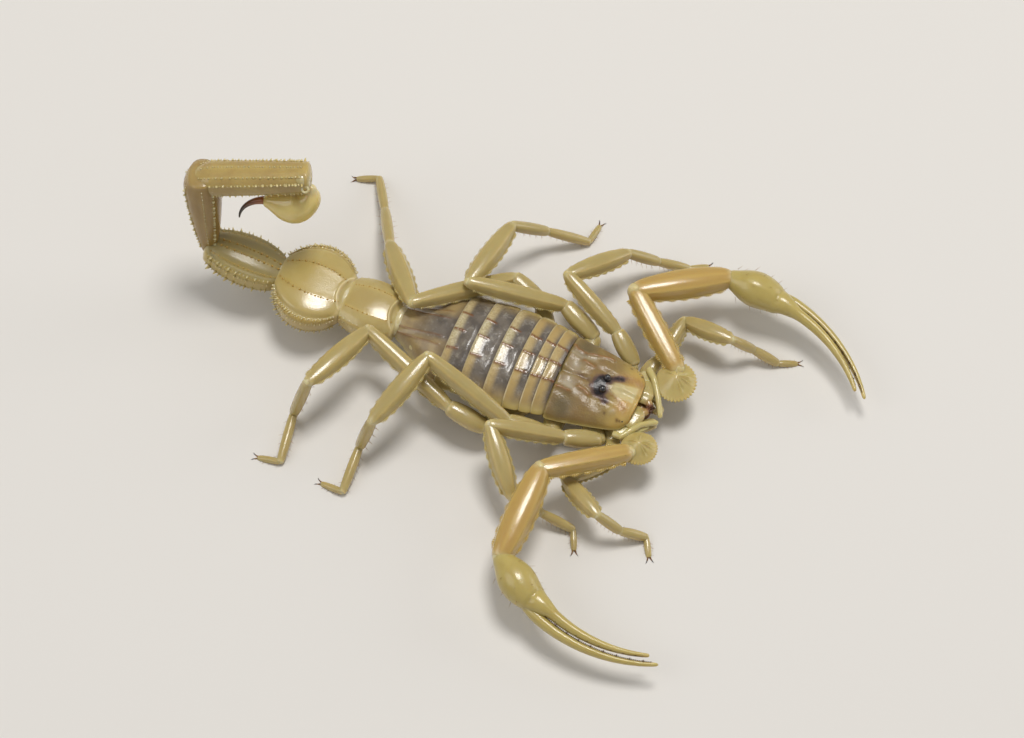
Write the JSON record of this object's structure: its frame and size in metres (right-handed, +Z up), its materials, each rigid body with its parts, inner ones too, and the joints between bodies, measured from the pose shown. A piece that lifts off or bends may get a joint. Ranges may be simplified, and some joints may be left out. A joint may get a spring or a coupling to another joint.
{
  "type": "scorpion",
  "caption": "Life-size model of a desert scorpion standing on eight legs, with slim pincers, a broad disc-shaped tail length and the tail arched over its rear.",
  "frame": {"origin": "under the middle of the outline, on the ground that the feet stand on", "axes": "+Z up, -Y towards the head, +X towards the animal's left side"},
  "size_m": [0.0592, 0.087, 0.0223],
  "materials": {
    "carapace_shell": "glossy, greyish, pale yellow along the borders",
    "trunk_shell": "glossy grey with pale yellow rear bands",
    "honey_shell": "glossy honey yellow with fine granules",
    "pale_limb": "glossy pale yellow-green",
    "vesicle": "smooth glossy lemon yellow",
    "sting": "glossy red-brown darkening to black",
    "eye": "mirror-smooth black",
    "underside": "satin cream"
  },
  "bodies": {
    "root": {"carapace": "carapace_shell", "trunk": "trunk_shell", "coxae_and_sternum": "underside", "median_eye_left": "eye", "median_eye_right": "eye", "chelicera_left": "underside", "chelicera_right": "underside", "pecten_left": "underside", "pecten_right": "underside", "leg_1_left_trochanter": "pale_limb", "leg_1_left_femur": "pale_limb", "leg_1_left_patella": "pale_limb", "leg_1_left_foot": "pale_limb", "leg_1_right_trochanter": "pale_limb", "leg_1_right_femur": "pale_limb", "leg_1_right_patella": "pale_limb", "leg_1_right_foot": "pale_limb", "leg_2_left_trochanter": "pale_limb", "leg_2_left_femur": "pale_limb", "leg_2_left_patella": "pale_limb", "leg_2_left_foot": "pale_limb", "leg_2_right_trochanter": "pale_limb", "leg_2_right_femur": "pale_limb", "leg_2_right_patella": "pale_limb", "leg_2_right_foot": "pale_limb", "leg_3_left_trochanter": "pale_limb", "leg_3_left_femur": "pale_limb", "leg_3_left_patella": "pale_limb", "leg_3_left_foot": "pale_limb", "leg_3_right_trochanter": "pale_limb", "leg_3_right_femur": "pale_limb", "leg_3_right_patella": "pale_limb", "leg_3_right_foot": "pale_limb", "leg_4_left_trochanter": "pale_limb", "leg_4_left_femur": "pale_limb", "leg_4_left_patella": "pale_limb", "leg_4_left_foot": "pale_limb", "leg_4_right_trochanter": "pale_limb", "leg_4_right_femur": "pale_limb", "leg_4_right_patella": "pale_limb", "leg_4_right_foot": "pale_limb", "pedipalp_left_trochanter": "honey_shell", "pedipalp_left_femur": "honey_shell", "pedipalp_left_patella": "honey_shell", "pedipalp_left_hand": "pale_limb", "pedipalp_left_movable_finger": "pale_limb", "pedipalp_right_trochanter": "honey_shell", "pedipalp_right_femur": "honey_shell", "pedipalp_right_patella": "honey_shell", "pedipalp_right_hand": "pale_limb", "pedipalp_right_movable_finger": "pale_limb", "metasoma_1": "honey_shell", "metasoma_2": "honey_shell", "metasoma_3": "honey_shell", "metasoma_4": "honey_shell", "metasoma_5": "honey_shell", "telson_vesicle": "vesicle", "telson_aculeus": "sting"}
  },
  "joints": []
}
